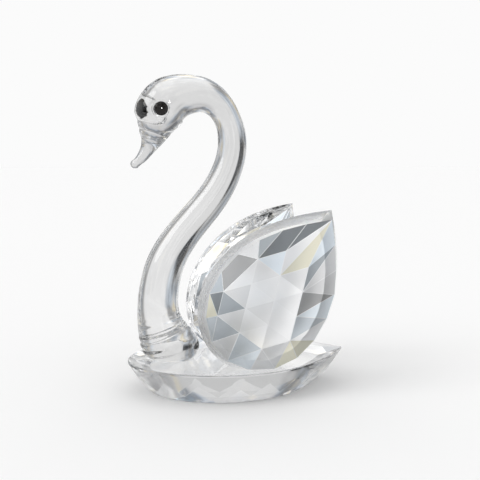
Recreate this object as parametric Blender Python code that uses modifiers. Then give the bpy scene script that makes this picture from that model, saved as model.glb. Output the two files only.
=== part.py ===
# A clear glass swan: a boat shaped base, a bent neck with head and beak, two cut wings, two black eyes.
# Metres, +Z up. The swan faces -X and its left side is -Y. The origin is the middle of the underside.
import math

import bmesh
import bpy
import numpy as np
from mathutils import Matrix, Vector

# Base, a leaf shaped boat
BASE_LENGTH = 0.0582
BASE_WIDTH = 0.0382
BASE_HEIGHT = 0.0080
BASE_WIDEST_X = -0.0027
BASE_RIM = 0.0006
BASE_PEAK_Z = 0.0050
BASE_TROUGH_Z = 0.0018
BASE_SECTORS = 16
BOW_ROUNDNESS = 1.91
STERN_ROUNDNESS = 2.26
# Size of the plan at each level below the rim, as a share of the rim's
PEAK_SHARE = 0.955
TROUGH_SHARE = 0.866
SOLE_SHARE = 0.79

# Neck and head, posed as shares of their own height above the base
NECK_HEIGHT = 0.0717
NECK_FOOT_X = -0.0172
NECK_SIDES = 26
FOOT_ROUNDING = 0.0016
WRINKLE_DEPTH = 0.00016
WRINKLE_PITCH = 0.0019
WRINKLE_MIDDLE = 0.0048
WRINKLE_REACH = 0.0046
FOLD_DEPTH = 0.00020

# Wings, pear shaped lenses with a tip: lengths first, then the angles in degrees at which they stand.
# The pear's lowest point lies over the base at the stand's x and y, and the seat's cut takes it off.
WING_LENGTH = 0.0462
WING_WIDTH = 0.0304
WING_BAND = 0.0034
WING_CROWN = 0.0040
WING_BACK = 0.0012
WING_STAND_X = 0.00059
WING_STAND_Y = 0.01221
WING_SEAT_CUT = 0.00159
WING_SPLAY = 15.8
WING_LEAN = -4.2
WING_SWEEP = 36.2
# Shape of the pear, in shares of its length from the tip
WIDEST_SHARE = 0.62
FACE_MIDDLE = 0.60
TIP_CURVE = 2.08
# Cut face: a shoulder ring and, inside it, a slanting lattice of facets on a low dome
WING_CORNERS = 18
SHOULDER_SHARE = 0.92
BACK_SHARE = 0.80
LATTICE_SHARE = 0.80
FACE_SHIFT = 0.0012
FACET_LENGTH = 0.0056
FACET_WIDTH = 0.0066
FACET_SLANT = 0.0023
FACET_STAND = 0.0003  # least height of a lattice corner above the shoulder
DOME_RADIUS_ALONG = 0.060
DOME_RADIUS_ACROSS = 0.030

# Eyes, round beads let into the sides of the head
EYE_DIAMETER = 0.0034
EYE_SIDE = 0.0005
EYE_DOME = 0.0010
EYE_SEAT_DEPTH = 0.0009
EYE_CUTTER_REACH = 0.0060
EYE_SHARES = (-49, 876)  # x and z in the same shares as the neck's stations

# Clearance between pieces that touch, as the glue line leaves it
GLUE_GAP = 0.0003

# Places along the neck from foot to beak tip: x, z and half depth in thousandths of the neck's
# height, measured from the foot, then width over depth, then the direction of travel in degrees
NECK_STATIONS = (
    (0, 0, 76, 1.00, 90),  # sole
    (-10, 40, 99, 1.00, 104),  # widest part of the foot
    (-43, 102, 86, 1.00, 108),
    (-57, 191, 72.5, 1.00, 95),  # foremost part of the breast
    (-35, 321, 67.5, 1.00, 70),
    (36, 445, 60.7, 1.00, 54),
    (136, 563, 56.9, 1.00, 53),
    (198, 672, 53.4, 1.00, 68),
    (216, 775, 51.0, 1.00, 92),  # hindmost part of the bend
    (186, 872, 48.8, 1.00, 121),
    (119, 926, 60.0, 1.00, 160),  # top of the arch
    (38, 925, 74.6, 0.96, 187),
    (-19, 898, 87.0, 0.91, 218),  # crown
    (-55, 850, 81.0, 0.92, 243),  # brow
    (-61, 819, 64.0, 0.97, 249),
    (-67, 792, 49.5, 1.02, 249),
    (-76, 762, 34.0, 1.08, 246),  # root of the beak
    (-89, 737, 24.0, 1.14, 241),
    (-107, 712, 18.5, 1.20, 230),
    (-120, 699, 15.6, 1.15, 226),  # pinch before the nail
    (-130, 690.5, 16.0, 1.08, 222),  # nail
)
CROWN_STATION = 12
BEAK_ROOT_STATION = 16
FOLD_PLACES = (14.5, 15.4)  # numbers of the stations between which the two folds lie
FOLD_REACH = 0.45


def glass_material(name, color, roughness, transmission):
    material = bpy.data.materials.new(name)
    material.use_nodes = True
    shader = material.node_tree.nodes["Principled BSDF"]
    shader.inputs["Base Color"].default_value = (*color, 1.0)
    shader.inputs["Roughness"].default_value = roughness
    shader.inputs["Metallic"].default_value = 0.0
    shader.inputs["IOR"].default_value = 1.54
    shader.inputs["Transmission Weight"].default_value = transmission
    return material


def make_piece(name, shell, material, sharp_degrees):
    """Turns a closed shell into a named object, smooth except at edges sharper than the angle."""
    bmesh.ops.recalc_face_normals(shell, faces=shell.faces)
    mesh = bpy.data.meshes.new(name)
    shell.to_mesh(mesh)
    shell.free()
    mesh.shade_smooth()
    mesh.set_sharp_from_angle(angle=math.radians(sharp_degrees))
    mesh.materials.append(material)
    return bpy.data.objects.new(name, mesh)


def hull_of(points):
    """The closed shell of flat faces stretched round a cloud of corners."""
    shell = bmesh.new()
    for point in points:
        shell.verts.new(point)
    hull = bmesh.ops.convex_hull(shell, input=shell.verts[:])
    loose = {item for key in ("geom_interior", "geom_unused") for item in hull[key]}
    unused = [item for item in loose if isinstance(item, bmesh.types.BMVert)]
    bmesh.ops.delete(shell, geom=unused, context="VERTS")
    return shell


def smooth_through(values, samples):
    """Natural cubic spline through evenly numbered rows of values, read at the sample numbers."""
    values = np.asarray(values, float)
    last = len(values) - 1
    bend = np.zeros_like(values)
    inner = np.diag(np.full(last - 1, 4.0)) + np.diag(np.ones(last - 2), 1) + np.diag(np.ones(last - 2), -1)
    bend[1:-1] = np.linalg.solve(inner, 6.0 * (values[2:] - 2.0 * values[1:-1] + values[:-2]))
    start = np.clip(np.floor(samples).astype(int), 0, last - 1)
    ahead = (samples - start)[:, None]
    behind = 1.0 - ahead
    return (
        behind * values[start]
        + ahead * values[start + 1]
        + ((behind**3 - behind) * bend[start] + (ahead**3 - ahead) * bend[start + 1]) / 6.0
    )


def base_half_width(x):
    """Half width of the base's plan: an ellipse-like bow, and a stern of two arcs that meet in a point."""
    bow = BASE_LENGTH / 2 + BASE_WIDEST_X
    stern = BASE_LENGTH / 2 - BASE_WIDEST_X
    ahead = np.clip((BASE_WIDEST_X - x) / bow, 0.0, 1.0)
    behind = np.clip((x - BASE_WIDEST_X) / stern, 0.0, 1.0)
    front = (1.0 - ahead**BOW_ROUNDNESS) ** (1.0 / BOW_ROUNDNESS)
    back = 1.0 - behind**STERN_ROUNDNESS
    return BASE_WIDTH / 2 * np.where(x < BASE_WIDEST_X, front, back)


def base_plan(count):
    """Points round the base's plan, evenly spaced by length, starting at the stern's point."""
    along = np.cos(np.linspace(0.0, np.pi, 721))
    x = BASE_LENGTH / 2 * along
    side = np.column_stack([x, base_half_width(x)])
    loop = np.vstack([side, side[-2:0:-1] * (1.0, -1.0), side[:1]])
    length = np.concatenate([[0.0], np.cumsum(np.linalg.norm(np.diff(loop, axis=0), axis=1))])
    places = np.arange(count) / count * length[-1]
    return np.column_stack([np.interp(places, length, loop[:, axis]) for axis in (0, 1)])


def make_base(material):
    """Rim, a smooth flare down to a zigzag, upright triangles between its troughs, and a low band."""
    steps = 4
    plan = base_plan(BASE_SECTORS * steps)
    center = np.array([BASE_WIDEST_X, 0.0])

    def level(points, share, z):
        spread = center + (points - center) * share
        return np.column_stack([spread, np.full(len(points), z)])

    corners = np.vstack(
        [
            level(plan, 1.0, BASE_HEIGHT),
            level(plan, 1.0, BASE_HEIGHT - BASE_RIM),
            level(plan[steps // 2 :: steps], PEAK_SHARE, BASE_PEAK_Z),
            level(plan[::steps], TROUGH_SHARE, BASE_TROUGH_Z),
            level(plan, SOLE_SHARE, 0.0),
        ]
    )
    return make_piece("base", hull_of(corners), material, 14.0)


def neck_samples():
    """Numbers along the list of stations: close together at the foot and at the beak's root."""
    return np.concatenate(
        [
            np.linspace(0.0, 2.2, 26, endpoint=False),
            np.linspace(2.2, BEAK_ROOT_STATION - 2.6, 42, endpoint=False),
            np.linspace(BEAK_ROOT_STATION - 2.6, BEAK_ROOT_STATION + 0.4, 18, endpoint=False),
            np.linspace(BEAK_ROOT_STATION + 0.4, len(NECK_STATIONS) - 1.0, 10),
        ]
    )


def hump(place, middle, reach):
    """One smooth bump, 1 at the middle and 0 beyond the reach."""
    away = np.clip(np.abs(place - middle) / reach, 0.0, 1.0)
    return (1.0 - away**2) ** 2


def eye_place(side):
    """Middle of the floor of the eye's seat, let into the widest part of the head, in the neck's frame."""
    share = NECK_HEIGHT / 1000.0
    half_widths = [row[2] * row[3] * share for row in NECK_STATIONS[CROWN_STATION : CROWN_STATION + 2]]
    floor = sum(half_widths) / 2 - EYE_SEAT_DEPTH
    return Vector((EYE_SHARES[0] * share, side * floor, EYE_SHARES[1] * share))


def make_eye_cutter(side, cutters):
    """A cylinder wider than the eye by the clearance, with its floor where the eye is seated."""
    shape = bmesh.new()
    bmesh.ops.create_cone(
        shape,
        cap_ends=True,
        segments=32,
        radius1=EYE_DIAMETER / 2 + GLUE_GAP,
        radius2=EYE_DIAMETER / 2 + GLUE_GAP,
        depth=EYE_CUTTER_REACH,
    )
    mesh = bpy.data.meshes.new("eye_seat_cutter")
    shape.to_mesh(mesh)
    shape.free()
    cutter = bpy.data.objects.new("eye_seat_cutter", mesh)
    cutter.location = eye_place(side) + Vector((0.0, side * EYE_CUTTER_REACH / 2, 0.0))
    cutter.rotation_euler = (math.radians(90.0), 0.0, 0.0)
    cutter.hide_render = True
    cutter.display_type = "WIRE"
    cutters.objects.link(cutter)
    return cutter


def make_eye(name, side, material):
    """A turned bead: flat back, short straight side and a round dome that faces out."""
    radius = EYE_DIAMETER / 2
    turns = np.linspace(0.0, np.pi / 2, 8)
    dome = [(radius * math.sin(turn), 0.0, EYE_SIDE + EYE_DOME * math.cos(turn)) for turn in turns]
    profile = dome + [(radius, 0.0, 0.0), (0.0, 0.0, 0.0)]
    mesh = bpy.data.meshes.new(name)
    mesh.from_pydata(profile, [(step, step + 1) for step in range(len(profile) - 1)], [])
    mesh.materials.append(material)
    eye = bpy.data.objects.new(name, mesh)
    turned = eye.modifiers.new("turned", "SCREW")
    turned.steps = 32
    turned.render_steps = 32
    turned.use_merge_vertices = True
    turned.merge_threshold = 0.00001
    eye.location = eye_place(side) + Vector((0.0, side * GLUE_GAP, 0.0))
    eye.rotation_euler = (math.radians(-90.0 * side), 0.0, 0.0)
    return eye


def neck_rings():
    """Ellipses along the stations' curve, in the frame of the foot's middle, ending in a round beak tip."""
    numbers = neck_samples()
    rows = smooth_through(NECK_STATIONS, numbers)
    x, z, depth = (rows[:, :3] * NECK_HEIGHT / 1000.0).T
    travel = np.radians(rows[:, 4])
    rise = np.clip(z / FOOT_ROUNDING, 0.0, 1.0)
    depth = depth * (0.80 + 0.20 * np.sqrt(1.0 - (1.0 - rise) ** 2))
    wrinkled = hump(z, WRINKLE_MIDDLE, WRINKLE_REACH)
    depth = depth + WRINKLE_DEPTH * wrinkled * np.cos(2.0 * np.pi * z / WRINKLE_PITCH)
    width = depth * rows[:, 3]
    folds = FOLD_DEPTH * sum(hump(numbers, place, FOLD_REACH) for place in FOLD_PLACES)
    ahead = np.column_stack([np.cos(travel), np.sin(travel)])
    center = np.column_stack([x, z])
    # The last station's ellipse shrinks round the tip in these steps
    turns = np.radians((35.0, 62.0, 80.0))[:, None]
    center = np.vstack([center, center[-1] + ahead[-1] * depth[-1] * np.sin(turns)])
    ahead = np.vstack([ahead, np.tile(ahead[-1], (3, 1))])
    depth, width = (np.append(size, size[-1] * np.cos(turns)) for size in (depth, width))
    folds = np.append(folds, np.zeros(3))
    around = np.linspace(0.0, 2.0 * np.pi, NECK_SIDES, endpoint=False)
    # The folds run over the beak's back and sides and fade under the throat
    swell = folds[:, None] * (0.6 + 0.4 * np.cos(around))
    reach = np.cos(around) * (depth[:, None] + swell)
    rings = np.empty((len(center), NECK_SIDES, 3))
    rings[:, :, 0] = center[:, :1] + reach * ahead[:, 1:]
    rings[:, :, 1] = np.sin(around) * (width[:, None] + swell)
    rings[:, :, 2] = center[:, 1:] - reach * ahead[:, :1]
    return rings


def make_neck(material, cutters):
    """The rings joined into one skin with closed ends, and a round seat for each eye."""
    shell = bmesh.new()
    rings = [[shell.verts.new(point) for point in ring] for ring in neck_rings()]
    for ring, following in zip(rings, rings[1:]):
        for side in range(NECK_SIDES):
            after = (side + 1) % NECK_SIDES
            shell.faces.new((ring[side], following[side], following[after], ring[after]))
    shell.faces.new(rings[0])
    shell.faces.new(rings[-1][::-1])
    neck = make_piece("neck_and_head", shell, material, 40.0)
    neck.location = (NECK_FOOT_X, 0.0, BASE_HEIGHT + GLUE_GAP)
    for side in (-1, 1):
        seat = neck.modifiers.new("eye_seat", "BOOLEAN")
        seat.operation = "DIFFERENCE"
        seat.solver = "EXACT"
        seat.object = make_eye_cutter(side, cutters)
        seat.object.parent = neck
    return neck


def wing_half_width(s):
    """Half width of the pear at a share of its length from the tip."""
    before = np.clip((WIDEST_SHARE - s) / WIDEST_SHARE, 0.0, 1.0)
    after = np.clip((s - WIDEST_SHARE) / (1.0 - WIDEST_SHARE), 0.0, 1.0)
    tip_part = 1.0 - before**TIP_CURVE
    return WING_WIDTH / 2 * np.where(s < WIDEST_SHARE, tip_part, np.sqrt(1.0 - after**2))


def wing_ring(count, offset, scale, shift, height):
    """Points round the pear, evenly spaced by length, drawn in to a scale about a shifted middle."""
    s = (1.0 - np.cos(np.linspace(0.0, np.pi, 401))) / 2.0
    side = np.column_stack([s * WING_LENGTH, wing_half_width(s)])
    loop = np.vstack([side, side[-2:0:-1] * (1.0, -1.0), side[:1]])
    length = np.concatenate([[0.0], np.cumsum(np.linalg.norm(np.diff(loop, axis=0), axis=1))])
    places = (np.arange(count) + offset) / count * length[-1]
    flat = np.column_stack([np.interp(places, length, loop[:, axis]) for axis in (0, 1)])
    middle = np.array([FACE_MIDDLE * WING_LENGTH, 0.0])
    flat = middle + (flat - middle) * scale + (0.0, shift)
    return np.column_stack([flat, np.full(count, height)])


def dome(flat):
    """Height of the low dome over the wing's face, measured from the widest ring."""
    along = flat[:, 0] - FACE_MIDDLE * WING_LENGTH
    across = flat[:, 1] - FACE_SHIFT
    sag = along**2 / (2.0 * DOME_RADIUS_ALONG) + across**2 / (2.0 * DOME_RADIUS_ACROSS)
    return WING_BAND + WING_CROWN - sag


def facet_corners():
    """A slanting lattice of corners on the dome, wherever it lies inside the smaller pear."""
    steps = np.arange(-7, 8)
    i, j = (grid.ravel() for grid in np.meshgrid(steps, steps))
    along = (i - 0.35) * FACET_LENGTH
    across = j * FACET_WIDTH + i * FACET_SLANT
    s = np.clip(FACE_MIDDLE + along / WING_LENGTH / LATTICE_SHARE, 0.0, 1.0)
    inside = np.abs(across) < LATTICE_SHARE * wing_half_width(s)
    flat = np.column_stack([FACE_MIDDLE * WING_LENGTH + along, FACE_SHIFT + across])[inside]
    height = dome(flat)
    return np.column_stack([flat, height])[height > WING_BAND + FACET_STAND]


def wing_points():
    """The pear's corners in its own frame: along its axis from the tip, across it, and outwards."""
    return np.vstack(
        [
            wing_ring(WING_CORNERS, 0.0, BACK_SHARE, 0.0, -WING_BACK),
            wing_ring(3 * WING_CORNERS, 0.0, 1.0, 0.0, 0.0),
            wing_ring(3 * WING_CORNERS, 0.0, 1.0, 0.0, 0.15 * WING_BAND),
            wing_ring(WING_CORNERS, 0.0, SHOULDER_SHARE, FACE_SHIFT, WING_BAND),
            facet_corners(),
        ]
    )


def wing_axes(side):
    """Unit vectors from the wing's tip down its axis, across it and out of its face, for one side."""
    splay, lean, sweep = (math.radians(angle) for angle in (WING_SPLAY, WING_LEAN, WING_SWEEP))
    back = Vector((math.cos(splay), side * math.sin(splay), 0.0))
    up = Vector((0.0, side * math.sin(lean), math.cos(lean)))
    up = (up - up.dot(back) * back).normalized()
    down_axis = -(math.sin(sweep) * back + math.cos(sweep) * up)
    across = -side * (math.cos(sweep) * back - math.sin(sweep) * up)
    return down_axis, across, down_axis.cross(across)


def make_wing(name, side, material):
    """The hull of the pear's corners, stood on the base at its lowest point and cut flat there."""
    corners = wing_points() * (1.0, -side, 1.0)
    axes = np.array(wing_axes(side))
    from_tip = corners @ axes
    lowest = from_tip[from_tip[:, 2].argmin()]
    seat_z = BASE_HEIGHT + GLUE_GAP
    tip = np.array([WING_STAND_X, side * WING_STAND_Y, seat_z - WING_SEAT_CUT]) - lowest
    placed = Matrix(axes.T.tolist()).to_4x4()
    placed.translation = tip.tolist()
    shell = hull_of(corners)
    to_wing = placed.inverted()
    seat = bmesh.ops.bisect_plane(
        shell,
        geom=shell.verts[:] + shell.edges[:] + shell.faces[:],
        dist=1e-6,
        plane_co=to_wing @ Vector((0.0, 0.0, seat_z)),
        plane_no=to_wing.to_3x3() @ Vector((0.0, 0.0, 1.0)),
        clear_inner=True,
    )
    edges = [item for item in seat["geom_cut"] if isinstance(item, bmesh.types.BMEdge)]
    bmesh.ops.contextual_create(shell, geom=edges)
    wing = make_piece(name, shell, material, 0.0)
    wing.location = placed.to_translation()
    wing.rotation_euler = placed.to_euler()
    return wing


def clear_scene():
    for old in list(bpy.data.objects):
        bpy.data.objects.remove(old, do_unlink=True)


def main():
    clear_scene()
    swan = bpy.data.collections.new("glass_swan")
    cutters = bpy.data.collections.new("cutters")
    bpy.context.scene.collection.children.link(swan)
    bpy.context.scene.collection.children.link(cutters)
    stand = bpy.data.objects.new("underside", None)
    base = make_base(glass_material("base_glass", (0.97, 0.98, 0.98), 0.02, 1.0))
    neck = make_neck(glass_material("neck_glass", (0.98, 0.98, 0.98), 0.02, 1.0), cutters)
    parents = {stand: None, base: stand, neck: base}
    for name, side in (("left", -1), ("right", 1)):
        crystal = glass_material(f"{name}_wing_glass", (0.97, 0.98, 0.99), 0.02, 1.0)
        parents[make_wing(f"wing_{name}", side, crystal)] = base
        bead = glass_material(f"{name}_eye_glass", (0.01, 0.008, 0.006), 0.05, 0.0)
        parents[make_eye(f"eye_{name}", side, bead)] = neck
    for piece, parent in parents.items():
        piece.parent = parent
        swan.objects.link(piece)


main()
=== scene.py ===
# Clear glass swan: boat shaped cut base, bent neck with head and beak, two cut wings, two black eyes
# Lengths in metres, +Z up; the swan faces -X and its left side is -Y
import math

import bmesh
import bpy
import numpy as np
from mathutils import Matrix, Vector


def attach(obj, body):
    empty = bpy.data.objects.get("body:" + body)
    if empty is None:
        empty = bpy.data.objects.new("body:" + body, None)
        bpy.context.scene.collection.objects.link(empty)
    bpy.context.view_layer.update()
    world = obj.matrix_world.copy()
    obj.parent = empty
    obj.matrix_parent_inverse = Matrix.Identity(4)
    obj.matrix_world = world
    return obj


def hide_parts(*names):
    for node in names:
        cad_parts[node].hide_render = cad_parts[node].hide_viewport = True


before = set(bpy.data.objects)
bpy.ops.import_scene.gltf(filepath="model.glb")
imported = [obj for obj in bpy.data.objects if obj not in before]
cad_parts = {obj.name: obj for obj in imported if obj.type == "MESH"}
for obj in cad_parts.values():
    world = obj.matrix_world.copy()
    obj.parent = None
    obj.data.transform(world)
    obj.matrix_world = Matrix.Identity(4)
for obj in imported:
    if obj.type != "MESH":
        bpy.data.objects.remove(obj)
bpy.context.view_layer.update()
print("frame loaded")


# Shapes worked out on grids


def splineThrough(rows, at):
    # natural cubic spline: second slopes solve a tridiagonal rule, then each span blends its two rows
    rows = np.asarray(rows, float)
    last = len(rows) - 1
    bend = np.zeros_like(rows)
    rule = 4.0 * np.eye(last - 1) + np.eye(last - 1, k=1) + np.eye(last - 1, k=-1)
    bend[1:-1] = np.linalg.solve(rule, 6.0 * (rows[2:] - 2.0 * rows[1:-1] + rows[:-2]))
    first = np.clip(at.astype(int), 0, last - 1)
    b = (at - first)[:, None]
    a = 1.0 - b
    curve = (a**3 - a) * bend[first] + (b**3 - b) * bend[first + 1]
    return a * rows[first] + b * rows[first + 1] + curve / 6.0


def hump(place, middle, reach):
    # (1 - d^2)^2, where d is the distance from the middle over the reach
    return (1.0 - np.clip(np.abs(place - middle) / reach, 0.0, 1.0) ** 2) ** 2


def putRings(name, rings, startPole, endPole):
    # rings[row, column]: quads between neighbouring rows, closed round the columns, a fan at each pole
    rows, columns = rings.shape[:2]
    points = np.vstack([rings.reshape(-1, 3), startPole, endPole])
    column = np.arange(columns)
    after = (column + 1) % columns
    row = np.arange(rows - 1)[:, None] * columns
    quads = np.stack([row + column, row + after, row + columns + after, row + columns + column], axis=-1)
    south, north = rows * columns, rows * columns + 1
    tail = (rows - 1) * columns
    fans = [
        np.stack([np.full(columns, south), after, column], axis=-1),
        np.stack([np.full(columns, north), tail + column, tail + after], axis=-1),
    ]
    mesh = bpy.data.meshes.new(name)
    mesh.from_pydata(points.tolist(), [], quads.reshape(-1, 4).tolist() + np.vstack(fans).tolist())
    return mesh


def putHull(points):
    # the closed shell of flat faces stretched round the corners
    shell = bmesh.new()
    for point in points.tolist():
        shell.verts.new(point)
    hull = bmesh.ops.convex_hull(shell, input=shell.verts[:])
    loose = {item for key in ("geom_interior", "geom_unused") for item in hull[key]}
    bmesh.ops.delete(shell, geom=[v for v in loose if isinstance(v, bmesh.types.BMVert)], context="VERTS")
    return shell


def readFaces(mesh, key, width):
    # one row for each face: its area, its middle or its normal
    values = np.empty(len(mesh.polygons) * width)
    mesh.polygons.foreach_get(key, values)
    return values.reshape(-1, width)


def writePaintedLightAndSatin(mesh, colors, satin):
    # a colour of painted shade, with painted reflection tints on the wings, that the glass is multiplied by,
    # and a roughness that is added to it, for each face
    mesh.attributes.new("facetPaintedLight", "FLOAT_COLOR", "FACE").data.foreach_set("color", colors.ravel())
    mesh.attributes.new("satin", "FLOAT", "FACE").data.foreach_set("value", satin)


def paintFacetShadeAndReflections(mesh, plan, facing, satin):
    # painted shade: faces whose normals round to the same step share a tone, 1 - chance^power * lean, where
    # lean is (1 - cosine of the tilt) over a full tilt, kept between a least and 1, so facets that tilt
    # further are painted darker;
    # planes that lean enough may get a painted cool or warm reflection
    normals = readFaces(mesh, "normal", 3)
    areas = readFaces(mesh, "area", 1)[:, 0]
    ahead = normals @ np.array(facing)
    steps, which = np.unique(np.round(normals * plan["normalSteps"]), axis=0, return_inverse=True)
    least, most = plan["leastArea"] * areas.max(), plan["mostArea"] * areas.max()
    cut = (areas > least) & (areas < most) & (ahead > plan["faceLean"])
    lean = (1.0 - steps @ np.array(facing) / plan["normalSteps"]) / plan["fullTilt"]
    lean = np.clip(lean, plan["leastLean"], 1.0)
    chance = np.random.default_rng(plan["toneSeed"])
    tone = 1.0 - chance.random(len(steps)) ** plan["tonePower"] * lean
    shares = [1.0 - plan["coolReflectionShare"] - plan["warmReflectionShare"], plan["coolReflectionShare"], plan["warmReflectionShare"]]
    turned = (chance.choice([0.0, 1.0, -1.0], len(steps), p=shares) * (lean > plan["reflectionLean"]))[:, None]
    tint = np.where(turned > 0.0, plan["coolPaintedReflection"], np.where(turned < 0.0, plan["warmPaintedReflection"], 1.0))
    colors = np.column_stack([tone[:, None] * tint, np.ones(len(steps))])
    colors = np.where(cut[:, None], colors[which.ravel()], 1.0)
    writePaintedLightAndSatin(mesh, colors, np.where(ahead < plan["backLean"], satin, 0.0))


def softenWall(mesh, facing, low, high):
    # edges between two faces of the side wall, whose normals lean between the two limits, are shaded round
    lean = readFaces(mesh, "normal", 3) @ np.array(facing)
    wall = (lean > low) & (lean < high)
    edges = np.empty(len(mesh.loops), int)
    mesh.loops.foreach_get("edge_index", edges)
    totals = np.empty(len(mesh.polygons), int)
    mesh.polygons.foreach_get("loop_total", totals)
    count = np.bincount(edges, weights=np.repeat(wall, totals), minlength=len(mesh.edges))
    marks = mesh.attributes["sharp_edge"].data
    sharp = np.empty(len(mesh.edges), bool)
    marks.foreach_get("value", sharp)
    marks.foreach_set("value", sharp & (count < 1.5))


def addPiece(mesh, material, sharpDegrees, node):
    # normals out, smooth except at edges sharper than the angle, then it rides and stands for its node
    shell = bmesh.new()
    shell.from_mesh(mesh)
    bmesh.ops.recalc_face_normals(shell, faces=shell.faces)
    shell.to_mesh(mesh)
    shell.free()
    mesh.shade_smooth()
    mesh.set_sharp_from_angle(angle=math.radians(sharpDegrees))
    mesh.materials.append(material)
    piece = bpy.data.objects.new(mesh.name, mesh)
    bpy.context.scene.collection.objects.link(piece)
    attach(piece, "root")
    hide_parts(node)


# Glass


def buildFinishGroup():
    # faint unevenness that polished glass keeps: long ripples, fine haze and a breath of tint
    group = bpy.data.node_groups.new("glassFinish", "ShaderNodeTree")
    for name, kind, default in (
        ("Tint", "NodeSocketColor", (1.0, 1.0, 1.0, 1.0)),
        ("Depth Tint", "NodeSocketColor", (1.0, 1.0, 1.0, 1.0)),
        ("Ripple Scale", "NodeSocketFloat", 90.0),
        ("Haze", "NodeSocketFloat", 0.004),
    ):
        socket = group.interface.new_socket(name=name, in_out="INPUT", socket_type=kind)
        socket.default_value = default
    results = {"Color": "NodeSocketColor", "Roughness": "NodeSocketFloat", "Height": "NodeSocketFloat"}
    for name, kind in results.items():
        group.interface.new_socket(name=name, in_out="OUTPUT", socket_type=kind)
    nodes, links = group.nodes, group.links
    into = nodes.new("NodeGroupInput")
    out = nodes.new("NodeGroupOutput")
    place = nodes.new("ShaderNodeTexCoord")
    ripple = nodes.new("ShaderNodeTexNoise")
    ripple.inputs["Detail"].default_value = 2.0
    ripple.inputs["Roughness"].default_value = 0.4
    links.new(place.outputs["Object"], ripple.inputs["Vector"])
    links.new(into.outputs["Ripple Scale"], ripple.inputs["Scale"])
    cloud = nodes.new("ShaderNodeTexNoise")
    cloud.inputs["Scale"].default_value = 60.0
    cloud.inputs["Detail"].default_value = 3.0
    links.new(place.outputs["Object"], cloud.inputs["Vector"])
    tint = nodes.new("ShaderNodeMix")
    tint.data_type = "RGBA"
    links.new(cloud.outputs["Fac"], tint.inputs["Factor"])
    links.new(into.outputs["Tint"], tint.inputs["A"])
    links.new(into.outputs["Depth Tint"], tint.inputs["B"])
    haze = nodes.new("ShaderNodeMath")
    haze.operation = "MULTIPLY"
    links.new(cloud.outputs["Fac"], haze.inputs[0])
    links.new(into.outputs["Haze"], haze.inputs[1])
    links.new(tint.outputs["Result"], out.inputs["Color"])
    links.new(haze.outputs["Value"], out.inputs["Roughness"])
    links.new(ripple.outputs["Fac"], out.inputs["Height"])
    return group


def buildGlass(name, look, finish):
    # colour = tint * painted facet shade and reflections, roughness = haze + satin, and the ripples tilt the
    # normal
    material = bpy.data.materials.new(name)
    material.use_nodes = True
    nodes, links = material.node_tree.nodes, material.node_tree.links
    shader = nodes["Principled BSDF"]
    shader.inputs["Metallic"].default_value = 0.0
    shader.inputs["Transmission Weight"].default_value = 1.0
    shader.inputs["IOR"].default_value = look["ior"]
    group = nodes.new("ShaderNodeGroup")
    group.node_tree = finish
    group.inputs["Tint"].default_value = (*look["tint"], 1.0)
    group.inputs["Depth Tint"].default_value = (*look["depthTint"], 1.0)
    group.inputs["Ripple Scale"].default_value = look["rippleScale"]
    group.inputs["Haze"].default_value = look["haze"]
    bump = nodes.new("ShaderNodeBump")
    bump.inputs["Strength"].default_value = look["rippleStrength"]
    bump.inputs["Distance"].default_value = look["rippleDepth"]
    color = group.outputs["Color"]
    # on faceted glass the painted shade and reflections of each face are multiplied in
    if look["facets"]:
        tone = nodes.new("ShaderNodeAttribute")
        tone.attribute_name = "facetPaintedLight"
        both = nodes.new("ShaderNodeMix")
        both.data_type = "RGBA"
        both.blend_type = "MULTIPLY"
        both.inputs["Factor"].default_value = 1.0
        links.new(color, both.inputs["A"])
        links.new(tone.outputs["Color"], both.inputs["B"])
        color = both.outputs["Result"]
    links.new(color, shader.inputs["Base Color"])
    satin = nodes.new("ShaderNodeAttribute")
    satin.attribute_name = "satin"
    rough = nodes.new("ShaderNodeMath")
    rough.operation = "ADD"
    links.new(group.outputs["Roughness"], rough.inputs[0])
    links.new(satin.outputs["Fac"], rough.inputs[1])
    links.new(rough.outputs["Value"], shader.inputs["Roughness"])
    links.new(group.outputs["Height"], bump.inputs["Height"])
    links.new(bump.outputs["Normal"], shader.inputs["Normal"])
    return material


finish = buildFinishGroup()
# the swan's glass is clear: the grey tint of the neck's drawn glass is painted shade
drawnGlass = buildGlass("drawnGlass", {
    "ior": 1.5, "tint": (0.71, 0.71, 0.71), "depthTint": (0.685, 0.685, 0.685),
    "rippleScale": 110.0, "rippleStrength": 0.04, "rippleDepth": 0.00005, "haze": 0.06,
    "facets": False,
}, finish)
cutGlass = buildGlass("cutGlass", {
    "ior": 1.54, "tint": (0.995, 0.997, 1.0), "depthTint": (0.985, 0.99, 1.0),
    "rippleScale": 70.0, "rippleStrength": 0.1, "rippleDepth": 0.00002, "haze": 0.002,
    "facets": True,
}, finish)
# the grey tint of the base's pressed glass is painted shade
pressedGlass = buildGlass("pressedGlass", {
    "ior": 1.47, "tint": (0.84, 0.84, 0.842), "depthTint": (0.82, 0.825, 0.83),
    "rippleScale": 80.0, "rippleStrength": 0.25, "rippleDepth": 0.00004, "haze": 0.03,
    "facets": True,
}, finish)
print("glass ready")


# Neck, head and beak

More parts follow.
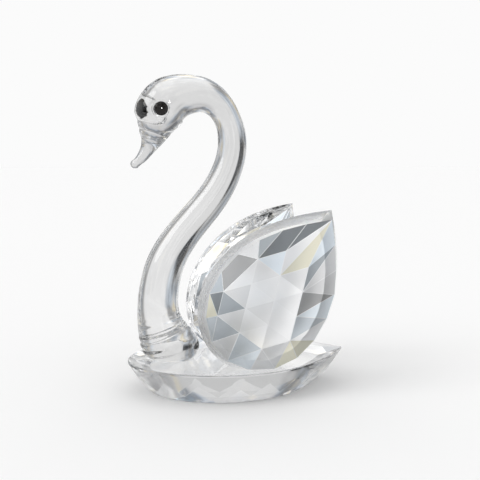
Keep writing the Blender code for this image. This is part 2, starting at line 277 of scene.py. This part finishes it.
neckPlan = {
    "height": 0.07168,         # from the foot to the crown
    "footX": -0.0172,
    "footZ": 0.0083,
    "glueReach": 0.00026,      # the sole comes this much lower, onto the glue line
    "glueFade": 0.004,         # height over which that fades out
    "footRounding": 0.0016,
    "soleShare": 0.80,         # depth at the sole over the rod's own
    "around": 224,
    "sharp": 60.0,
    # station where each span of rings starts, and how many rings it has
    "spans": ((0.0, 104), (2.4, 116), (11.0, 84), (13.8, 78), (16.6, 36)),
    "tipRings": 12,            # steps of the quarter turn that rounds the beak's tip
    # pressed rings at the foot: depth, pitch and place, how far they wander and how uneven they are
    "wrinkleDepth": 0.00011, "wrinklePitch": 0.0018, "wrinkleMiddle": 0.0052, "wrinkleReach": 0.0050,
    "wanderOnce": 0.7, "wanderTwice": 0.4, "wanderStart": 0.6,
    "wrinkleEven": 0.8, "wrinkleUneven": 0.35, "unevenStart": 1.1,
    # folds at the beak's root, deeper in front; places and reach in stations
    "foldDepth": 0.00018, "foldPlaces": (14.5, 15.4), "foldReach": 0.45, "foldEven": 0.6, "foldFront": 0.4,
    # x, z and half depth in thousandths of the height from the foot, width over depth, travel in degrees
    "stations": (
        (0, 0, 76, 1.00, 90), (-10, 40, 99, 1.00, 104), (-43, 102, 86, 1.00, 108),
        (-57, 191, 72.5, 1.00, 95), (-35, 321, 67.5, 1.00, 70), (36, 445, 60.7, 1.00, 54),
        (136, 563, 56.9, 1.00, 53), (198, 672, 53.4, 1.00, 68), (216, 775, 51.0, 1.00, 92),
        (186, 872, 48.8, 1.00, 121), (119, 926, 60.0, 1.00, 160), (38, 925, 74.6, 0.96, 187),
        (-19, 898, 87.0, 0.91, 218), (-55, 850, 81.0, 0.92, 243), (-61, 819, 64.0, 0.97, 249),
        (-67, 792, 49.5, 1.02, 249), (-76, 762, 34.0, 1.08, 246), (-89, 737, 24.0, 1.14, 241),
        (-107, 712, 18.5, 1.20, 230), (-120, 699, 15.6, 1.15, 226), (-130, 690.5, 16.0, 1.08, 222),
    ),
}
eyePlan = {
    "diameter": 0.0034,
    "dome": 0.0010,
    "side": 0.0005,            # straight part under the dome
    "sideFoot": 0.00012,       # height and width of the chamfer round the flat back
    "backInset": 0.00010,
    "backCore": 0.05,          # radius of the innermost ring of the back, in radii
    "around": 72, "domeRings": 26, "backRings": 9, "sharp": 50.0,
    # cement and its painted glow stop short of the front of the back, whose bare black is a painted dark oval
    # in the forehead
    "bareEdge": 0.22,          # cement stops this far ahead of the axis, in radii
    "cementRise": 0.8,         # and this far up the straight side, in its heights
    "seatDepth": 0.0009,
    "seatWall": 0.00024,       # width of the steep wall round the seat
    "gap": 0.0003,
    "x": -49, "z": 876,        # in the same thousandths as the stations
    "headStation": 12,         # first of the head's two widest stations
}


def eyeSeat():
    # middle of a seat's floor: mean half width of the head's two widest stations, less the seat's depth
    share = neckPlan["height"] / 1000.0
    rows = neckPlan["stations"][eyePlan["headStation"]:eyePlan["headStation"] + 2]
    floor = sum(row[2] * row[3] * share for row in rows) / 2 - eyePlan["seatDepth"]
    return neckPlan["footX"] + eyePlan["x"] * share, floor, neckPlan["footZ"] + eyePlan["z"] * share


def neckRings():
    # ellipse(around) carried along the spline: middle + cos * depth across the travel + sin * width sideways
    plan = neckPlan
    last = len(plan["stations"]) - 1
    starts, counts = zip(*plan["spans"])
    spans = zip(starts, (*starts[1:], last), counts)
    at = np.concatenate([np.linspace(start, end, count, endpoint=end == last) for start, end, count in spans])
    rows = splineThrough(plan["stations"], at)
    x, z, depth = (rows[:, :3] * plan["height"] / 1000.0).T
    travel = np.radians(rows[:, 4])
    rise = np.clip(z / plan["footRounding"], 0.0, 1.0)
    depth = depth * (plan["soleShare"] + (1.0 - plan["soleShare"]) * np.sqrt(1.0 - (1.0 - rise) ** 2))
    z = z - plan["glueReach"] * (1.0 - np.clip(z / plan["glueFade"], 0.0, 1.0)) ** 2
    width = depth * rows[:, 3]
    # the tip's ellipse shrinks round a quarter turn
    turns = np.linspace(0.0, np.pi / 2, plan["tipRings"])[1:-1, None]
    ahead = np.column_stack([np.cos(travel), np.sin(travel)])
    middle = np.column_stack([x, z])
    middle = np.vstack([middle, middle[-1] + ahead[-1] * depth[-1] * np.sin(turns)])
    depth, width = (np.append(size, size[-1] * np.cos(turns)) for size in (depth, width))
    ahead = np.vstack([ahead, np.tile(ahead[-1], (len(turns), 1))])
    at = np.append(at, np.full(len(turns), float(last)))
    angle = np.linspace(0.0, 2.0 * np.pi, plan["around"], endpoint=False)
    # pressed rings at the foot wander a little round the rod and fade in and out
    height = middle[:, 1:]
    wander = plan["wanderOnce"] * np.sin(angle + plan["wanderStart"])
    wander = wander + plan["wanderTwice"] * np.sin(2.0 * angle)
    uneven = plan["wrinkleUneven"] * np.sin(2.0 * angle + plan["unevenStart"])
    wrinkles = (plan["wrinkleEven"] + uneven) * np.cos(2.0 * np.pi * height / plan["wrinklePitch"] + wander)
    wrinkles = wrinkles * plan["wrinkleDepth"] * hump(height, plan["wrinkleMiddle"], plan["wrinkleReach"])
    folds = plan["foldDepth"] * sum(hump(at, place, plan["foldReach"]) for place in plan["foldPlaces"])
    swell = folds[:, None] * (plan["foldEven"] + plan["foldFront"] * np.cos(angle)) + wrinkles
    reach = np.cos(angle) * (depth[:, None] + swell)
    rings = np.empty((len(middle), plan["around"], 3))
    rings[..., 0] = plan["footX"] + middle[:, :1] + reach * ahead[:, 1:]
    rings[..., 1] = np.sin(angle) * (width[:, None] + swell)
    rings[..., 2] = plan["footZ"] + middle[:, 1:] - reach * ahead[:, :1]
    return rings


def pressEyeSeats(rings):
    # inside the seat's radius the side is pressed flat to its floor, with a short steep wall round it;
    # what lies nearer the middle than half the floor stays
    x, floor, z = eyeSeat()
    away = np.hypot(rings[..., 0] - x, rings[..., 2] - z)
    radius = eyePlan["diameter"] / 2 + eyePlan["gap"]
    wall = np.clip((radius + eyePlan["seatWall"] / 2 - away) / eyePlan["seatWall"], 0.0, 1.0)
    wall = wall * wall * (3.0 - 2.0 * wall)
    side = np.abs(rings[..., 1])
    onHead = side > 0.5 * floor
    pressed = side + (np.minimum(side, floor) - side) * wall
    rings[..., 1] = np.where(onHead, np.sign(rings[..., 1]) * pressed, rings[..., 1])
    return rings


def makeNeck():
    # the rings with the seats pressed in, closed by a fan at the sole and one at the beak's tip
    rings = pressEyeSeats(neckRings())
    mesh = putRings("neck", rings, rings[0].mean(axis=0), rings[-1].mean(axis=0))
    addPiece(mesh, drawnGlass, neckPlan["sharp"], "neck_and_head")


beadLook = {
    "ior": 1.52, "specular": 0.3, "cloudScale": 900.0,
    "black": (0.001, 0.001, 0.001), "brown": (0.006, 0.004, 0.003), "roughness": (0.04, 0.09),
    # pale cement, with a glow that is painted light
    "cementAndPaintedGlow": (0.95, 0.95, 0.95), "cementPaintedGlow": (0.62, 0.62, 0.62),
}


def buildBead():
    # black glass with a brown cloud in it, turned to pale cement with a painted glow on the faces that the
    # mask marks
    # the glow is painted light, not a lamp; where the mask is bare the black back shows as a painted dark
    # oval in the forehead
    material = bpy.data.materials.new("blackBead")
    material.use_nodes = True
    nodes, links = material.node_tree.nodes, material.node_tree.links
    shader = nodes["Principled BSDF"]
    shader.inputs["IOR"].default_value = beadLook["ior"]
    shader.inputs["Specular IOR Level"].default_value = beadLook["specular"]
    place = nodes.new("ShaderNodeTexCoord")
    cloud = nodes.new("ShaderNodeTexNoise")
    cloud.inputs["Scale"].default_value = beadLook["cloudScale"]
    ramp = nodes.new("ShaderNodeValToRGB")
    ramp.color_ramp.elements[0].color = (*beadLook["black"], 1.0)
    ramp.color_ramp.elements[1].color = (*beadLook["brown"], 1.0)
    rough = nodes.new("ShaderNodeMapRange")
    rough.inputs["To Min"].default_value, rough.inputs["To Max"].default_value = beadLook["roughness"]
    links.new(place.outputs["Object"], cloud.inputs["Vector"])
    links.new(cloud.outputs["Fac"], ramp.inputs["Fac"])
    links.new(cloud.outputs["Fac"], rough.inputs["Value"])
    cementAndPaintedGlow = nodes.new("ShaderNodeAttribute")
    cementAndPaintedGlow.attribute_name = "cementAndPaintedGlow"
    paint = nodes.new("ShaderNodeMix")
    paint.data_type = "RGBA"
    links.new(cementAndPaintedGlow.outputs["Fac"], paint.inputs["Factor"])
    links.new(ramp.outputs["Color"], paint.inputs["A"])
    paint.inputs["B"].default_value = (*beadLook["cementAndPaintedGlow"], 1.0)
    links.new(paint.outputs["Result"], shader.inputs["Base Color"])
    # the glow of the cement is painted light
    glow = nodes.new("ShaderNodeMix")
    glow.data_type = "RGBA"
    links.new(cementAndPaintedGlow.outputs["Fac"], glow.inputs["Factor"])
    glow.inputs["A"].default_value = (0.0, 0.0, 0.0, 1.0)
    glow.inputs["B"].default_value = (*beadLook["cementPaintedGlow"], 1.0)
    links.new(glow.outputs["Result"], shader.inputs["Emission Color"])
    shader.inputs["Emission Strength"].default_value = 1.0
    links.new(rough.outputs["Result"], shader.inputs["Roughness"])
    return material


def makeEyes():
    # profile(radius, height) turned about the eye's axis: quarter ellipse, short straight side, flat back
    material = buildBead()
    x, floor, z = eyeSeat()
    radius = eyePlan["diameter"] / 2
    turns = np.linspace(0.0, np.pi / 2, eyePlan["domeRings"])[1:]
    dome = np.column_stack([radius * np.sin(turns), eyePlan["side"] + eyePlan["dome"] * np.cos(turns)])
    flat = np.linspace(radius - eyePlan["backInset"], eyePlan["backCore"] * radius, eyePlan["backRings"])
    flat = np.column_stack([flat, np.zeros_like(flat)])
    profile = np.vstack([dome, (radius, eyePlan["sideFoot"]), flat])
    angle = np.linspace(0.0, 2.0 * np.pi, eyePlan["around"], endpoint=False)
    for name, side in (("left", -1.0), ("right", 1.0)):
        rings = np.empty((len(profile), len(angle), 3))
        rings[..., 0] = x + profile[:, :1] * np.cos(angle)
        rings[..., 1] = side * (floor + eyePlan["gap"] + profile[:, 1:])
        rings[..., 2] = z + profile[:, :1] * np.sin(angle)
        top = (x, side * (floor + eyePlan["gap"] + eyePlan["side"] + eyePlan["dome"]), z)
        back = (x, side * (floor + eyePlan["gap"]), z)
        mesh = putRings(name + "Eye", rings, top, back)
        # the back and the foot of the side get pale cement with a painted glow, short of the bare black front
        away = readFaces(mesh, "center", 3) - back
        low = side * away[:, 1] < eyePlan["cementRise"] * eyePlan["side"]
        pale = low & (away[:, 0] > -eyePlan["bareEdge"] * radius)
        mesh.attributes.new("cementAndPaintedGlow", "FLOAT", "FACE").data.foreach_set("value", pale.astype(float))
        addPiece(mesh, material, eyePlan["sharp"], "eye_" + name)


# Base

basePlan = {
    "length": 0.0582, "width": 0.0382, "height": 0.0080, "widestX": -0.0027,
    "bow": 1.91, "stern": 2.26, "outlineSteps": 1441, "sectors": 16, "fine": 16, "sharp": 5.0,
    "rim": 0.0006, "rimRound": 0.00025, "rimSteps": 4,
    "peakZ": 0.0050, "peakShare": 0.955, "troughZ": 0.0018, "troughShare": 0.866, "soleShare": 0.79,
    # heights that part the faces' middles: sole, low band, upright triangles, flare and top
    "soleTop": 0.00001, "bandTop": 0.0021, "flareFoot": 0.0042, "satinTop": 0.0079, "flareTop": 0.00795,
    # painted shade of the flare and of the low band, then the satin of the sole and of the flare
    "flarePaintedShade": 0.66, "lowPaintedShade": 0.86, "soleSatin": 0.25, "flareSatin": 0.03,
}


def evenLoop(half, count):
    # the half outline and its mirror image, read at equal steps of length
    loop = np.vstack([half, half[-2:0:-1] * (1.0, -1.0), half[:1]])
    length = np.concatenate([[0.0], np.cumsum(np.linalg.norm(np.diff(loop, axis=0), axis=1))])
    places = np.arange(count) / count * length[-1]
    return np.column_stack([np.interp(places, length, loop[:, axis]) for axis in (0, 1)])


def baseOutline(count):
    # half width: (1 - t^bow)^(1/bow) ahead of the widest place, 1 - t^stern behind it
    plan = basePlan
    x = plan["length"] / 2 * np.cos(np.linspace(0.0, np.pi, plan["outlineSteps"]))
    ahead = np.clip((plan["widestX"] - x) / (plan["length"] / 2 + plan["widestX"]), 0.0, 1.0)
    behind = np.clip((x - plan["widestX"]) / (plan["length"] / 2 - plan["widestX"]), 0.0, 1.0)
    bow = (1.0 - ahead ** plan["bow"]) ** (1.0 / plan["bow"])
    half = plan["width"] / 2 * np.where(x < plan["widestX"], bow, 1.0 - behind ** plan["stern"])
    return evenLoop(np.column_stack([x, half]), count)


def makeBase():
    # hull of level loops, each the outline times its share: the round rim, peaks and troughs that stand
    # half a sector apart, and the sole
    plan = basePlan
    fine = plan["fine"]
    outline = baseOutline(plan["sectors"] * fine)
    middle = np.array([plan["widestX"], 0.0])

    def level(points, share, z):
        # the loop drawn in about the middle by its share, at one height
        return np.column_stack([middle + (points - middle) * share, np.full(len(points), z)])

    turns = np.linspace(0.0, np.pi / 2, plan["rimSteps"])
    shares = 1.0 - plan["rimRound"] * (1.0 - np.cos(turns)) / (plan["width"] / 2)
    heights = plan["height"] - plan["rimRound"] * (1.0 - np.sin(turns))
    corners = np.vstack([level(outline, share, z) for share, z in zip(shares, heights)] + [
        level(outline, 1.0, plan["height"] - plan["rim"]),
        level(outline[fine // 2::fine], plan["peakShare"], plan["peakZ"]),
        level(outline[::fine], plan["troughShare"], plan["troughZ"]),
        level(outline, plan["soleShare"], 0.0),
    ])
    shell = putHull(corners)
    mesh = bpy.data.meshes.new("baseBoat")
    shell.to_mesh(mesh)
    shell.free()
    # painted shade: the flare is painted darker than the low band, and both darker than the top and the
    # upright triangles
    height = readFaces(mesh, "center", 3)[:, 2]
    tone = np.select(
        [height > plan["flareTop"], height > plan["flareFoot"], height > plan["bandTop"]],
        [1.0, plan["flarePaintedShade"], 1.0], plan["lowPaintedShade"])
    onFlare = (height > plan["flareFoot"]) & (height < plan["satinTop"])
    satin = np.select([height < plan["soleTop"], onFlare], [plan["soleSatin"], plan["flareSatin"]], 0.0)
    writePaintedLightAndSatin(mesh, np.column_stack([tone, tone, tone, np.ones(len(tone))]), satin)
    addPiece(mesh, pressedGlass, plan["sharp"], "base")


# Wings

wingPlan = {
    "length": 0.0462, "width": 0.0304, "band": 0.0034, "crown": 0.0040, "back": 0.0012,
    "tipX": 0.0197, "tipY": 0.0147, "tipZ": 0.0465,
    "splay": 15.8, "lean": -4.2, "sweep": 36.2,
    "widest": 0.62, "faceMiddle": 0.60, "tipCurve": 2.08, "outlineSteps": 801,
    "corners": 18, "fine": 216, "sharp": 3.0, "shoulderShare": 0.92, "backShare": 0.80,
    "wallShare": 0.15,         # height of the upright wall round the outline, in bands
    "faceShift": 0.0012, "domeAlong": 0.060, "domeAcross": 0.030, "seat": 0.00802,
    "facetLength": 0.0056, "facetWidth": 0.0066, "facetSlant": 0.0023, "facetStand": 0.0003,
    "latticeReach": (7, 5), "latticeStart": 0.35, "latticeShare": 0.80,
    "flatBend": 0.4,           # edges with less of a bend are joined, in degrees
    "ridge": 0.00006, "ridgeBend": 1.5, "ridgeLean": 0.75,
    # cosines between a face and the way the wing faces: the cut face is above one, the back below the other
    "faceLean": 0.74, "backLean": -0.2,
    "satin": {"left": 0.46, "right": 0.04},
    # painted shade and painted reflection tints of the facets; areas in shares of the largest face
    "toneSeed": 9937, "normalSteps": 60.0, "leastArea": 0.004, "mostArea": 0.35,
    "fullTilt": 0.06, "leastLean": 0.30, "tonePower": 1.5,
    "reflectionLean": 0.45, "coolReflectionShare": 0.45, "warmReflectionShare": 0.15,
    "coolPaintedReflection": (0.78, 0.90, 1.0), "warmPaintedReflection": (1.0, 0.93, 0.62),
}


def wingHalfWidth(s):
    # 1 - t^tipCurve from the widest place to the tip, a half ellipse on the other side
    before = np.clip((wingPlan["widest"] - s) / wingPlan["widest"], 0.0, 1.0)
    after = np.clip((s - wingPlan["widest"]) / (1.0 - wingPlan["widest"]), 0.0, 1.0)
    share = np.where(s < wingPlan["widest"], 1.0 - before ** wingPlan["tipCurve"], np.sqrt(1.0 - after**2))
    return wingPlan["width"] / 2 * share


def wingRing(count, share, shift, height):
    # the pear's outline drawn in about a shifted middle, at one height
    plan = wingPlan
    s = (1.0 - np.cos(np.linspace(0.0, np.pi, plan["outlineSteps"]))) / 2.0
    flat = evenLoop(np.column_stack([s * plan["length"], wingHalfWidth(s)]), count)
    middle = np.array([plan["faceMiddle"] * plan["length"], 0.0])
    return np.column_stack([middle + (flat - middle) * share + (0.0, shift), np.full(count, height)])


def domeHeight(flat):
    # band + crown less the sag of two parabolas, along and across
    along = flat[:, 0] - wingPlan["faceMiddle"] * wingPlan["length"]
    across = flat[:, 1] - wingPlan["faceShift"]
    sag = along**2 / (2.0 * wingPlan["domeAlong"]) + across**2 / (2.0 * wingPlan["domeAcross"])
    return wingPlan["band"] + wingPlan["crown"] - sag


def wingCorners():
    # rings of the back, the wall and the shoulder, then a lattice on the dome: i lengths along the wing,
    # j widths and i slants across it
    plan = wingPlan
    steps = [np.arange(-reach, reach + 1) for reach in plan["latticeReach"]]
    i, j = (grid.ravel() for grid in np.meshgrid(*steps))
    along = (i - plan["latticeStart"]) * plan["facetLength"]
    across = j * plan["facetWidth"] + i * plan["facetSlant"]
    s = np.clip(plan["faceMiddle"] + along / plan["length"] / plan["latticeShare"], 0.0, 1.0)
    inside = np.abs(across) < plan["latticeShare"] * wingHalfWidth(s)
    middle = plan["faceMiddle"] * plan["length"]
    lattice = np.column_stack([middle + along, plan["faceShift"] + across])[inside]
    height = domeHeight(lattice)
    lattice = np.column_stack([lattice, height])[height > plan["band"] + plan["facetStand"]]
    return np.vstack([
        wingRing(plan["corners"], plan["backShare"], 0.0, -plan["back"]),
        wingRing(plan["fine"], 1.0, 0.0, 0.0),
        wingRing(plan["fine"], 1.0, 0.0, plan["wallShare"] * plan["band"]),
        wingRing(plan["corners"], plan["shoulderShare"], plan["faceShift"], plan["band"]),
        lattice,
    ])


def placeWing(local, side):
    # tip + the corner's three lengths along the wing's axis, across it and out of its face
    splay, lean, sweep = (math.radians(wingPlan[key]) for key in ("splay", "lean", "sweep"))
    back = np.array([math.cos(splay), -math.sin(splay), 0.0])
    up = np.array([0.0, -math.sin(lean), math.cos(lean)])
    up = up - (up @ back) * back
    up = up / np.linalg.norm(up)
    axis = -(math.sin(sweep) * back + math.cos(sweep) * up)
    across = math.cos(sweep) * back - math.sin(sweep) * up
    tip = np.array([wingPlan["tipX"], -wingPlan["tipY"], wingPlan["tipZ"]])
    placed = tip + local @ np.vstack([axis, across, np.cross(back, up)])
    placed[:, 1] *= -side
    return placed


def makeWing(name, side):
    # hull of the corners, cut flat and closed at the seat, with a narrow bevel on each ridge between facets
    plan = wingPlan
    shell = putHull(placeWing(wingCorners(), side))
    seat = bmesh.ops.bisect_plane(
        shell, geom=shell.verts[:] + shell.edges[:] + shell.faces[:], dist=1e-7,
        plane_co=(0.0, 0.0, plan["seat"]), plane_no=(0.0, 0.0, 1.0), clear_inner=True)
    rim = [item for item in seat["geom_cut"] if isinstance(item, bmesh.types.BMEdge)]
    bmesh.ops.contextual_create(shell, geom=rim)
    flat = math.radians(plan["flatBend"])
    bmesh.ops.dissolve_limit(shell, angle_limit=flat, verts=shell.verts[:], edges=shell.edges[:])
    splay = math.radians(plan["splay"])
    facing = Vector((-math.sin(splay), side * math.cos(splay), 0.0))
    ridges = [
        edge for edge in shell.edges
        if all(face.normal.dot(facing) > plan["ridgeLean"] for face in edge.link_faces)
        and edge.calc_face_angle(0.0) > math.radians(plan["ridgeBend"])
    ]
    bmesh.ops.bevel(shell, geom=ridges, offset=plan["ridge"], segments=1, affect="EDGES", profile=0.5)
    mesh = bpy.data.meshes.new(name + "Wing")
    shell.to_mesh(mesh)
    shell.free()
    paintFacetShadeAndReflections(mesh, plan, facing, plan["satin"][name])
    addPiece(mesh, cutGlass, plan["sharp"], "wing_" + name)
    softenWall(mesh, facing, plan["backLean"], plan["faceLean"])


makeBase()
print("base ready")
makeNeck()
makeEyes()
print("neck and eyes ready")
makeWing("left", -1.0)
makeWing("right", 1.0)
print("wings ready")


# Floor, light and camera

studio = {
    "backdrop": 0.965,         # what the camera sees behind the swan
    "floorHalf": 6.0, "floorZ": -0.0002, "floorColor": (0.93, 0.93, 0.93),
    "floorLight": 0.867,       # even light that falls on the floor
    "windows": 4,              # bright walls round the table, one behind the swan from the camera
    "windowTurn": 15.0, "wallEdge": (-0.55, 0.35), "wallTone": (0.54, 1.01),
    # a narrow dark strip low on each wall
    "stripTurn": -17.0, "stripTone": 0.09,
    "stripEdge": (0.74, 0.82), "stripFoot": (-6.0, 0.0), "stripTop": (14.0, 8.0),
    # lighter and darker patches, and the quiet middle of each wall that has none
    "patchScale": 5.2, "patchEdge": (0.38, 0.62), "patchTone": (0.66, 1.22),
    "quietTurn": 22.0, "quietEdge": (-0.25, 0.35), "quietFoot": (-40.0, -32.0), "quietTop": (34.0, 26.0),
    # bright cards on the side that the camera works from
    "cardTurn": 195.0, "cardSide": (0.1, 0.45),
    "cardScale": 4.4, "cardEdge": (0.49, 0.56), "cardTone": (0.75, 1.9),
    # brightness from straight down, 0, to straight up, 1
    "climb": (
        (0.0, (1.3, 1.3, 1.3)), (0.25, (1.35, 1.35, 1.35)), (0.35, (1.20, 1.20, 1.20)),
        (0.45, (1.05, 1.05, 1.05)), (0.50, (0.98, 0.98, 0.98)), (0.61, (0.96, 0.96, 0.96)),
        (0.67, (0.70, 0.70, 0.71)), (0.72, (0.50, 0.50, 0.51)), (0.78, (0.62, 0.63, 0.65)),
        (0.86, (1.2, 1.22, 1.25)), (1.0, (1.3, 1.3, 1.3)),
    ),
    # cool, plain and warm parts of the room
    "tintScale": 4.6,
    "tints": (
        (0.0, (0.80, 0.93, 1.10)), (0.38, (0.90, 0.97, 1.05)), (0.46, (1.0, 1.0, 1.0)),
        (0.62, (1.0, 1.0, 1.0)), (0.68, (1.10, 1.02, 0.84)), (1.0, (1.15, 1.0, 0.7)),
    ),
}
keyPlan = {"power": 0.85, "spread": 34.0, "place": (-0.75, -0.22, 0.62), "aim": (0.0, 0.0, 0.03)}
glintPlan = {
    "power": 0.0009, "size": 0.024, "spread": 8.0,
    "place": (-0.0023, -0.1235, 0.083), "aim": (-0.0207, -0.0055, 0.0711),
}
cameraPlan = {
    "turn": 14.95, "height": 6.24, "distance": 0.190, "target": (0.00035, 0.0, 0.0381),
    "lens": 54.86, "nearest": 0.01,
}


def makeFloor():
    # one pale square without shine, just under the sole; rays that come through the glass miss it
    half, z = studio["floorHalf"], studio["floorZ"]
    mesh = bpy.data.meshes.new("floor")
    corners = [(-half, -half, z), (half, -half, z), (half, half, z), (-half, half, z)]
    mesh.from_pydata(corners, [], [(0, 1, 2, 3)])
    material = bpy.data.materials.new("paleFloor")
    material.use_nodes = True
    shader = material.node_tree.nodes["Principled BSDF"]
    shader.inputs["Specular IOR Level"].default_value = 0.0
    shader.inputs["Roughness"].default_value = 1.0
    shader.inputs["Base Color"].default_value = (*studio["floorColor"], 1.0)
    mesh.materials.append(material)
    floor = bpy.data.objects.new("floor", mesh)
    floor.visible_transmission = False
    bpy.context.scene.collection.objects.link(floor)


def addLight(name, kind, plan):
    # the spread is a sun's own width or the width of a lamp's beam, in degrees; the camera sees neither
    light = bpy.data.lights.new(name, kind)
    light.energy = plan["power"]
    if kind == "SUN":
        light.angle = math.radians(plan["spread"])
    else:
        light.shape = "DISK"
        light.size = plan["size"]
        light.spread = math.radians(plan["spread"])
    lamp = bpy.data.objects.new(name, light)
    lamp.location = plan["place"]
    lamp.rotation_euler = (Vector(plan["aim"]) - Vector(plan["place"])).to_track_quat("-Z", "Y").to_euler()
    lamp.visible_camera = False
    bpy.context.scene.collection.objects.link(lamp)


def makeWorld():
    # camera rays see a plain backdrop, the floor's rays an even light, the glass's rays a room of walls
    world = bpy.data.worlds.new("studio")
    bpy.context.scene.world = world
    world.use_nodes = True
    nodes, links = world.node_tree.nodes, world.node_tree.links
    nodes.clear()

    def feed(socket, value):
        # a number is written into the socket, anything else is linked to it
        if isinstance(value, (int, float)):
            socket.default_value = value
        else:
            links.new(value, socket)

    def sums(operation, *values):
        # one node of arithmetic on its values
        node = nodes.new("ShaderNodeMath")
        node.operation = operation
        for socket, value in zip(node.inputs, values):
            feed(socket, value)
        return node.outputs[0]

    def step(value, edge, tones=(0.0, 1.0)):
        # rises smoothly from the first tone to the second while the value crosses the edge
        node = nodes.new("ShaderNodeMapRange")
        node.interpolation_type = "SMOOTHSTEP"
        given = zip(("Value", "From Min", "From Max", "To Min", "To Max"), (value, *edge, *tones))
        for key, number in given:
            feed(node.inputs[key], number)
        return node.outputs["Result"]

    def ramp(value, stops):
        # colours blended between the stops that lie before and after the value
        node = nodes.new("ShaderNodeValToRGB")
        elements = node.color_ramp.elements
        elements[0].position, elements[0].color = stops[0][0], (*stops[0][1], 1.0)
        elements[1].position, elements[1].color = stops[-1][0], (*stops[-1][1], 1.0)
        for position, color in stops[1:-1]:
            elements.new(position).color = (*color, 1.0)
        links.new(value, node.inputs["Fac"])
        return node.outputs["Color"]

    def noise(scale, detail):
        # clouds spread over the directions round the swan
        node = nodes.new("ShaderNodeTexNoise")
        node.inputs["Scale"].default_value = scale
        node.inputs["Detail"].default_value = detail
        links.new(place.outputs["Generated"], node.inputs["Vector"])
        return node.outputs["Fac"]

    def background(color, strength):
        # light of one colour, given as numbers or by a node
        node = nodes.new("ShaderNodeBackground")
        node.inputs["Strength"].default_value = strength
        if isinstance(color, tuple):
            node.inputs["Color"].default_value = color
        else:
            links.new(color, node.inputs["Color"])
        return node.outputs[0]

    def choose(factor, a, b):
        # a * (1 - factor) + b * factor
        node = nodes.new("ShaderNodeMixShader")
        for socket, value in zip(node.inputs, (factor, a, b)):
            links.new(value, socket)
        return node.outputs[0]

    place = nodes.new("ShaderNodeTexCoord")
    split = nodes.new("ShaderNodeSeparateXYZ")
    links.new(place.outputs["Generated"], split.inputs["Vector"])
    turn = sums("DEGREES", sums("ARCTAN2", split.outputs["X"], split.outputs["Y"]))
    rise = sums("DEGREES", sums("ARCSINE", split.outputs["Z"]))
    count = float(studio["windows"])

    def wave(start, repeats):
        # cosine of the turn from a start, repeated round the room
        away = sums("MULTIPLY", sums("SUBTRACT", turn, start), repeats)
        return sums("COSINE", sums("RADIANS", away))

    def belt(foot, top):
        # one between two heights on the wall, none below and above
        return sums("MULTIPLY", step(rise, foot), step(rise, top))

    # walls, darker at the corners between them, each with its strip
    walls = wave(studio["windowTurn"], count)
    strip = step(wave(studio["stripTurn"], count), studio["stripEdge"])
    strip = sums("MULTIPLY", strip, belt(studio["stripFoot"], studio["stripTop"]))
    strip = sums("MULTIPLY_ADD", strip, studio["stripTone"] - 1.0, 1.0)
    wall = sums("MULTIPLY", step(walls, studio["wallEdge"], studio["wallTone"]), strip)
    # up the wall: even to eye level, a dark gap under the ceiling, then the bright ceiling
    climb = ramp(sums("MULTIPLY_ADD", rise, 1.0 / 180.0, 0.5), studio["climb"])
    # patches fade out in the quiet middle of each wall
    middle = math.cos(math.radians(studio["quietTurn"] * count))
    quiet = step(walls, [middle + reach for reach in studio["quietEdge"]])
    quiet = sums("MULTIPLY", quiet, belt(studio["quietFoot"], studio["quietTop"]))
    loud = sums("SUBTRACT", 1.0, quiet)
    patch = step(noise(studio["patchScale"], 1.0), studio["patchEdge"], studio["patchTone"])
    patches = sums("MULTIPLY_ADD", sums("SUBTRACT", patch, 1.0), loud, 1.0)
    # cards on the camera's side, for the facets to mirror
    ahead = step(wave(studio["cardTurn"], 1.0), studio["cardSide"])
    cards = step(noise(studio["cardScale"], 0.0), studio["cardEdge"], studio["cardTone"])
    cards = sums("MULTIPLY_ADD", sums("SUBTRACT", cards, 1.0), ahead, 1.0)
    # brightness: climb * wall * patches * cards, then the tint where the patches are
    tone = nodes.new("ShaderNodeVectorMath")
    tone.operation = "SCALE"
    links.new(climb, tone.inputs[0])
    links.new(sums("MULTIPLY", wall, sums("MULTIPLY", patches, cards)), tone.inputs["Scale"])
    tint = nodes.new("ShaderNodeMix")
    tint.data_type = "RGBA"
    tint.inputs["A"].default_value = (1.0, 1.0, 1.0, 1.0)
    links.new(loud, tint.inputs["Factor"])
    links.new(ramp(noise(studio["tintScale"], 0.0), studio["tints"]), tint.inputs["B"])
    tinted = nodes.new("ShaderNodeVectorMath")
    tinted.operation = "MULTIPLY"
    links.new(tone.outputs[0], tinted.inputs[0])
    links.new(tint.outputs["Result"], tinted.inputs[1])

    rays = nodes.new("ShaderNodeLightPath")
    seen = background(tinted.outputs[0], 1.0)
    onFloor = background((1.0, 1.0, 1.0, 1.0), studio["floorLight"])
    backdrop = background((studio["backdrop"],) * 3 + (1.0,), 1.0)
    out = nodes.new("ShaderNodeOutputWorld")
    indirect = choose(rays.outputs["Is Diffuse Ray"], seen, onFloor)
    links.new(choose(rays.outputs["Is Camera Ray"], indirect, backdrop), out.inputs["Surface"])


def makeCamera():
    # target + distance * the direction back to the viewer, turned from -Y towards -X and raised
    plan = cameraPlan
    turn, rise = math.radians(plan["turn"]), math.radians(plan["height"])
    back = Vector((-math.sin(turn) * math.cos(rise), -math.cos(turn) * math.cos(rise), math.sin(rise)))
    data = bpy.data.cameras.new("camera")
    data.lens = plan["lens"]
    data.clip_start = plan["nearest"]
    camera = bpy.data.objects.new("camera", data)
    camera.location = Vector(plan["target"]) + back * plan["distance"]
    camera.rotation_euler = (-back).to_track_quat("-Z", "Y").to_euler()
    bpy.context.scene.collection.objects.link(camera)
    bpy.context.scene.camera = camera


makeFloor()
addLight("keyLight", "SUN", keyPlan)
addLight("glintLight", "AREA", glintPlan)
makeWorld()
makeCamera()
scene = bpy.context.scene
scene.view_settings.view_transform = "Standard"
# enough bounces to pass through all the glass, and a clamp that keeps rare bright paths from speckling
scene.cycles.max_bounces = 32
scene.cycles.transmission_bounces = 28
scene.cycles.glossy_bounces = 12
scene.cycles.sample_clamp_indirect = 1.5
print("studio ready")
